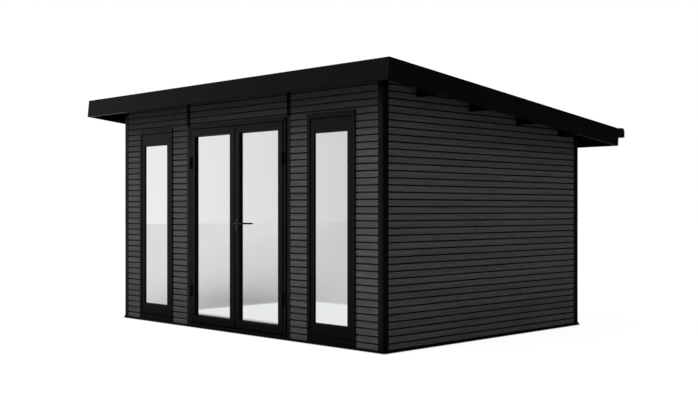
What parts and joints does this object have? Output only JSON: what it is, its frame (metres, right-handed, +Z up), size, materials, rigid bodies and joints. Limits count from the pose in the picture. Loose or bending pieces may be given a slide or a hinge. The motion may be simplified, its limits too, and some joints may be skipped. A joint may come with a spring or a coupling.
{
  "type": "garden shed",
  "caption": "Mono-pitch garden shed with dark horizontal boards, black fascia, an outward-opening glazed double door between two tall fixed windows, and a box gutter behind.",
  "frame": {"origin": "centre of the base on the ground", "axes": "+X to the right along the front as seen from outside, +Y from the front to the back, +Z up"},
  "size_m": [4.614, 3.7062, 2.444],
  "materials": {
    "black_steel": "satin black coated steel",
    "treated_timber": "sawn treated softwood",
    "floor_timber": "planed softwood boards",
    "black_post": "matt black coated aluminium",
    "cladding": "dark anthracite composite boards, brushed, black grooves",
    "black_frame": "satin black coated aluminium",
    "glazing": "clear double glazing",
    "hinge_metal": "black coated",
    "handle_metal": "satin black",
    "black_timber": "black stained timber",
    "roof_membrane": "matt rubber sheet",
    "black_fascia": "satin black coated board",
    "gutter_metal": "satin black coated aluminium"
  },
  "bodies": {
    "shed": {"base_frame": "black_steel", "floor_bearers": "treated_timber", "floor_boards": "floor_timber", "corner_posts": "black_post", "bay_posts": "black_post", "front_wall_left": "cladding", "front_wall_right": "cladding", "front_wall_over_door": "cladding", "left_wall": "cladding", "right_wall": "cladding", "back_wall": "cladding", "left_gable_infill": "cladding", "right_gable_infill": "cladding", "left_window_frame": "black_frame", "left_window_sash": "black_frame", "left_window_glass": "glazing", "right_window_frame": "black_frame", "right_window_sash": "black_frame", "right_window_glass": "glazing", "door_jambs": "black_frame", "door_head": "black_frame", "door_sill": "black_frame", "left_hinge_posts": "hinge_metal", "right_hinge_posts": "hinge_metal", "purlins": "black_timber", "roof_boards": "black_timber", "roof_covering": "roof_membrane", "front_fascia": "black_fascia", "back_fascia": "black_fascia", "left_fascia": "black_fascia", "right_fascia": "black_fascia", "gutter": "gutter_metal", "gutter_brackets": "gutter_metal"},
    "door_left": {"left_door_leaf": "black_frame", "left_door_glass": "glazing", "left_hinge_flags": "hinge_metal"},
    "door_right": {"right_door_leaf": "black_frame", "right_door_glass": "glazing", "right_hinge_flags": "hinge_metal", "handle_plates": "handle_metal"},
    "handle": {"handle_levers": "handle_metal"}
  },
  "joints": [
    {"name": "left_door_hinge", "type": "hinge", "parent": "shed", "child": "door_left", "pos_m": [-0.719, -1.533, 1], "axis": [0, 0, -1], "range_deg": [0, 110]},
    {"name": "right_door_hinge", "type": "hinge", "parent": "shed", "child": "door_right", "pos_m": [0.719, -1.533, 1], "axis": [0, 0, 1], "range_deg": [0, 110]},
    {"name": "lever_turn", "type": "hinge", "parent": "door_right", "child": "handle", "pos_m": [0.043, -1.495, 1.078], "axis": [0, 1, 0], "range_deg": [0, 40], "stiffness_Nm_per_rad": 3, "springref_deg": -20.05}
  ]
}
